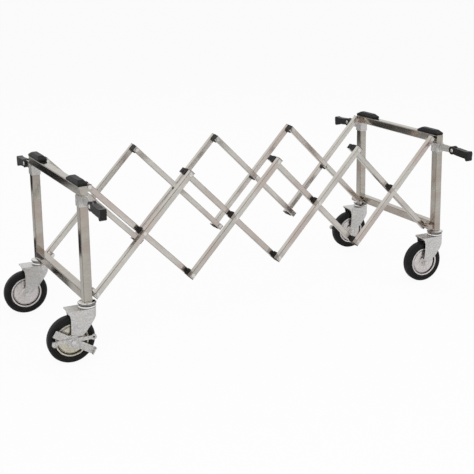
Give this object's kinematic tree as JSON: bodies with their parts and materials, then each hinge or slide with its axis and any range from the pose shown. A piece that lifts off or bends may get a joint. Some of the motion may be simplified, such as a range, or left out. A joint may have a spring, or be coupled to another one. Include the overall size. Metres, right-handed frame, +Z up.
{
  "type": "coffin church truck",
  "caption": "Folding wheeled trolley that carries a coffin on padded cross bars, its end frames joined by a collapsible lattice of crossed square tubes",
  "frame": {"origin": "on the floor, under the middle of the opened truck", "axes": "+X runs along the truck, +Y across it to the far side, +Z is up"},
  "size_m": [1.6515, 0.877, 0.6111],
  "materials": {
    "frame_tube": "satin",
    "link_tube": "satin",
    "zinc_sheet": "zinc plated",
    "rim_steel": "zinc plated",
    "brake_steel": "zinc plated",
    "bolt_steel": "bright",
    "bright_race": "polished",
    "pad_rubber": "satin",
    "tyre_rubber": "matt",
    "grip_plastic": "satin",
    "black_plastic": "satin"
  },
  "bodies": {
    "left_frame": {"left_posts": "frame_tube", "left_top_bar": "frame_tube", "left_bottom_bar": "frame_tube", "left_pads": "pad_rubber", "left_brackets": "frame_tube", "left_handle_collars": "zinc_sheet", "left_grip_rivets": "bolt_steel", "left_swivel_heads": "bright_race"},
    "right_frame": {"right_posts": "frame_tube", "right_top_bar": "frame_tube", "right_bottom_bar": "frame_tube", "right_pads": "pad_rubber", "right_brackets": "frame_tube", "right_handle_collars": "zinc_sheet", "right_grip_rivets": "bolt_steel", "right_swivel_heads": "bright_race"},
    "rising_1": {"rising_link_1": "link_tube", "rising_plugs_1": "black_plastic", "rising_bolts_1": "bolt_steel"},
    "falling_1": {"falling_link_1": "link_tube", "falling_plugs_1": "black_plastic", "falling_keeper_pins_1": "bolt_steel"},
    "rising_2": {"rising_link_2": "link_tube", "rising_plugs_2": "black_plastic", "rising_bolts_2": "bolt_steel"},
    "falling_2": {"falling_link_2": "link_tube", "falling_plugs_2": "black_plastic"},
    "rising_3": {"rising_link_3": "link_tube", "rising_plugs_3": "black_plastic", "rising_bolts_3": "bolt_steel"},
    "falling_3": {"falling_link_3": "link_tube", "falling_plugs_3": "black_plastic"},
    "rising_4": {"rising_link_4": "link_tube", "rising_plugs_4": "black_plastic", "rising_bolts_4": "bolt_steel"},
    "falling_4": {"falling_link_4": "link_tube", "falling_plugs_4": "black_plastic"},
    "near_left_grip": {"near_left_grip": "grip_plastic"},
    "near_left_swivel": {"near_left_fork": "zinc_sheet", "near_left_axle": "bolt_steel"},
    "near_left_wheel": {"near_left_rim": "rim_steel", "near_left_tyre": "tyre_rubber"},
    "far_left_grip": {"far_left_grip": "grip_plastic"},
    "far_left_swivel": {"far_left_fork": "zinc_sheet", "far_left_axle": "bolt_steel"},
    "far_left_wheel": {"far_left_rim": "rim_steel", "far_left_tyre": "tyre_rubber"},
    "near_right_grip": {"near_right_grip": "grip_plastic"},
    "near_right_swivel": {"near_right_fork": "zinc_sheet", "near_right_axle": "bolt_steel"},
    "near_right_wheel": {"near_right_rim": "rim_steel", "near_right_tyre": "tyre_rubber"},
    "far_right_grip": {"far_right_grip": "grip_plastic"},
    "far_right_swivel": {"far_right_fork": "zinc_sheet", "far_right_axle": "bolt_steel"},
    "far_right_wheel": {"far_right_rim": "rim_steel", "far_right_tyre": "tyre_rubber"},
    "near_left_brake": {"near_left_brake": "brake_steel"},
    "far_right_brake": {"far_right_brake": "brake_steel"}
  },
  "joints": [
    {"name": "fold", "type": "hinge", "parent": "left_frame", "child": "rising_1", "pos_m": [-0.64549, 0, 0.218], "axis": [0, -1, 0], "range_deg": [0, 35.7]},
    {"name": "cross_1", "type": "hinge", "parent": "rising_1", "child": "falling_1", "pos_m": [-0.46917, 0, 0.39805], "axis": [0, -1, 0], "range_deg": [-71.45, 0]},
    {"name": "top_1", "type": "hinge", "parent": "rising_1", "child": "falling_2", "pos_m": [-0.29286, 0, 0.57809], "axis": [0, -1, 0], "range_deg": [-71.45, 0]},
    {"name": "cross_2", "type": "hinge", "parent": "falling_2", "child": "rising_2", "pos_m": [-0.11654, 0, 0.39805], "axis": [0, -1, 0], "range_deg": [0, 71.45]},
    {"name": "low_2", "type": "hinge", "parent": "falling_2", "child": "rising_3", "pos_m": [0.05977, 0, 0.218], "axis": [0, -1, 0], "range_deg": [0, 71.45]},
    {"name": "cross_3", "type": "hinge", "parent": "rising_3", "child": "falling_3", "pos_m": [0.23609, 0, 0.39805], "axis": [0, -1, 0], "range_deg": [-71.45, 0]},
    {"name": "top_3", "type": "hinge", "parent": "rising_3", "child": "falling_4", "pos_m": [0.4124, 0, 0.57809], "axis": [0, -1, 0], "range_deg": [-71.45, 0]},
    {"name": "cross_4", "type": "hinge", "parent": "falling_4", "child": "rising_4", "pos_m": [0.58872, 0, 0.39805], "axis": [0, -1, 0], "range_deg": [0, 71.45]},
    {"name": "low_4", "type": "hinge", "parent": "falling_4", "child": "right_frame", "pos_m": [0.76503, 0, 0.218], "axis": [0, -1, 0], "range_deg": [0, 35.75]},
    {"name": "near_left_grip_fold", "type": "hinge", "parent": "left_frame", "child": "near_left_grip", "pos_m": [-0.68049, -0.346, 0.54809], "axis": [1, 0, 0], "range_deg": [0, 84]},
    {"name": "near_left_swivel_turn", "type": "hinge", "parent": "left_frame", "child": "near_left_swivel", "pos_m": [-0.68049, -0.25, 0.203], "axis": [0, 0, 1], "continuous": true},
    {"name": "near_left_wheel_spin", "type": "hinge", "parent": "near_left_swivel", "child": "near_left_wheel", "pos_m": [-0.74026, -0.24477, 0.08], "axis": [0.0872, 0.9962, 0], "continuous": true},
    {"name": "near_left_brake_rock", "type": "hinge", "parent": "near_left_swivel", "child": "near_left_brake", "pos_m": [-0.74026, -0.24477, 0.08], "axis": [0.0872, 0.9962, 0], "range_deg": [-8, 8]},
    {"name": "far_left_grip_fold", "type": "hinge", "parent": "left_frame", "child": "far_left_grip", "pos_m": [-0.68049, 0.346, 0.54809], "axis": [-1, 0, 0], "range_deg": [0, 84]},
    {"name": "far_left_swivel_turn", "type": "hinge", "parent": "left_frame", "child": "far_left_swivel", "pos_m": [-0.68049, 0.25, 0.203], "axis": [0, 0, 1], "continuous": true},
    {"name": "far_left_wheel_spin", "type": "hinge", "parent": "far_left_swivel", "child": "far_left_wheel", "pos_m": [-0.74026, 0.25523, 0.08], "axis": [0.0872, 0.9962, 0], "continuous": true},
    {"name": "near_right_grip_fold", "type": "hinge", "parent": "right_frame", "child": "near_right_grip", "pos_m": [0.80003, -0.346, 0.54809], "axis": [1, 0, 0], "range_deg": [0, 84]},
    {"name": "near_right_swivel_turn", "type": "hinge", "parent": "right_frame", "child": "near_right_swivel", "pos_m": [0.80003, -0.25, 0.203], "axis": [0, 0, 1], "continuous": true},
    {"name": "near_right_wheel_spin", "type": "hinge", "parent": "near_right_swivel", "child": "near_right_wheel", "pos_m": [0.74026, -0.24477, 0.08], "axis": [0.0872, 0.9962, 0], "continuous": true},
    {"name": "far_right_grip_fold", "type": "hinge", "parent": "right_frame", "child": "far_right_grip", "pos_m": [0.80003, 0.346, 0.54809], "axis": [-1, 0, 0], "range_deg": [0, 84]},
    {"name": "far_right_swivel_turn", "type": "hinge", "parent": "right_frame", "child": "far_right_swivel", "pos_m": [0.80003, 0.25, 0.203], "axis": [0, 0, 1], "continuous": true},
    {"name": "far_right_wheel_spin", "type": "hinge", "parent": "far_right_swivel", "child": "far_right_wheel", "pos_m": [0.74026, 0.25523, 0.08], "axis": [0.0872, 0.9962, 0], "continuous": true},
    {"name": "far_right_brake_rock", "type": "hinge", "parent": "far_right_swivel", "child": "far_right_brake", "pos_m": [0.74026, 0.25523, 0.08], "axis": [0.0872, 0.9962, 0], "range_deg": [-8, 8]}
  ],
  "couplings": [
    {"joint": "cross_1", "follows": "fold", "ratio": -2},
    {"joint": "top_1", "follows": "fold", "ratio": -2},
    {"joint": "cross_2", "follows": "fold", "ratio": 2},
    {"joint": "low_2", "follows": "fold", "ratio": 2},
    {"joint": "cross_3", "follows": "fold", "ratio": -2},
    {"joint": "top_3", "follows": "fold", "ratio": -2},
    {"joint": "cross_4", "follows": "fold", "ratio": 2},
    {"joint": "low_4", "follows": "fold", "ratio": 1}
  ]
}
